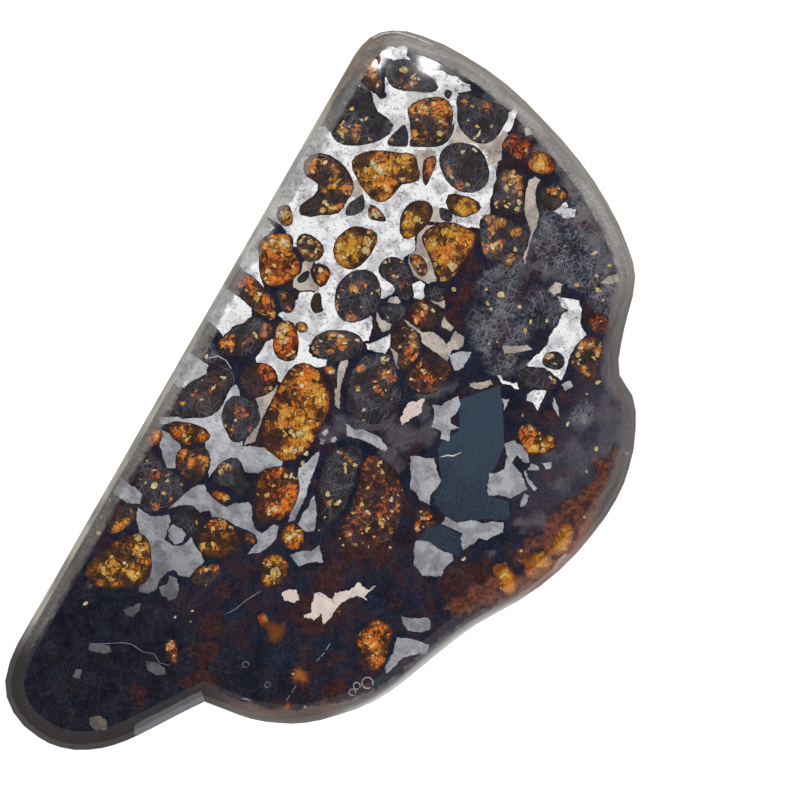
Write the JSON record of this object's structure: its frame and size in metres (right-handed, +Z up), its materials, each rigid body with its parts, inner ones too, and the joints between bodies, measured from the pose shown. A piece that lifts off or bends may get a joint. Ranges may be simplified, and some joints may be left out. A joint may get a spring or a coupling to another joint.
{
  "type": "pallasite meteorite slice",
  "caption": "Polished, varnished slice of pallasite: iron-nickel metal and dark oxide set with amber to near-black olivine crystals, one sawn edge and a ground bevel all round.",
  "frame": {"origin": "middle of the slice's box, on its underside", "axes": "+Z up from the underside, the slice's thickness; +Y along the straight sawn edge, its length; +X across it, away from the sawn edge"},
  "size_m": [0.0806, 0.1445, 0.0035],
  "materials": {
    "iron_nickel": "polished and varnished",
    "olivine_gold": "polished and varnished",
    "olivine_amber": "polished and varnished",
    "olivine_rim_amber": "ground and varnished",
    "olivine_brown": "polished and varnished",
    "olivine_red": "polished and varnished",
    "olivine_dark": "polished and varnished"
  },
  "bodies": {
    "root": {"iron_nickel_plate": "iron_nickel", "olivine_amber_1": "olivine_amber", "olivine_amber_10": "olivine_amber", "olivine_amber_11": "olivine_amber", "olivine_amber_2": "olivine_amber", "olivine_amber_3": "olivine_amber", "olivine_amber_4": "olivine_amber", "olivine_amber_5": "olivine_amber", "olivine_amber_6": "olivine_amber", "olivine_amber_7": "olivine_amber", "olivine_amber_8": "olivine_amber", "olivine_amber_9": "olivine_amber", "olivine_brown_1": "olivine_brown", "olivine_brown_10": "olivine_brown", "olivine_brown_11": "olivine_brown", "olivine_brown_12": "olivine_brown", "olivine_brown_13": "olivine_brown", "olivine_brown_2": "olivine_brown", "olivine_brown_3": "olivine_brown", "olivine_brown_4": "olivine_brown", "olivine_brown_5": "olivine_brown", "olivine_brown_6": "olivine_brown", "olivine_brown_7": "olivine_brown", "olivine_brown_8": "olivine_brown", "olivine_brown_9": "olivine_brown", "olivine_dark_1": "olivine_dark", "olivine_dark_10": "olivine_dark", "olivine_dark_11": "olivine_dark", "olivine_dark_12": "olivine_dark", "olivine_dark_13": "olivine_dark", "olivine_dark_14": "olivine_dark", "olivine_dark_15": "olivine_dark", "olivine_dark_16": "olivine_dark", "olivine_dark_17": "olivine_dark", "olivine_dark_18": "olivine_dark", "olivine_dark_19": "olivine_dark", "olivine_dark_2": "olivine_dark", "olivine_dark_20": "olivine_dark", "olivine_dark_3": "olivine_dark", "olivine_dark_4": "olivine_dark", "olivine_dark_5": "olivine_dark", "olivine_dark_6": "olivine_dark", "olivine_dark_7": "olivine_dark", "olivine_dark_8": "olivine_dark", "olivine_dark_9": "olivine_dark", "olivine_gold_1": "olivine_gold", "olivine_gold_2": "olivine_gold", "olivine_gold_3": "olivine_gold", "olivine_gold_4": "olivine_gold", "olivine_gold_5": "olivine_gold", "olivine_gold_6": "olivine_gold", "olivine_gold_7": "olivine_gold", "olivine_red_1": "olivine_red", "olivine_red_2": "olivine_red", "olivine_red_3": "olivine_red", "olivine_red_4": "olivine_red", "olivine_red_5": "olivine_red", "olivine_rim_amber_1": "olivine_rim_amber", "olivine_rim_amber_2": "olivine_rim_amber", "olivine_rim_amber_3": "olivine_rim_amber"}
  },
  "joints": []
}
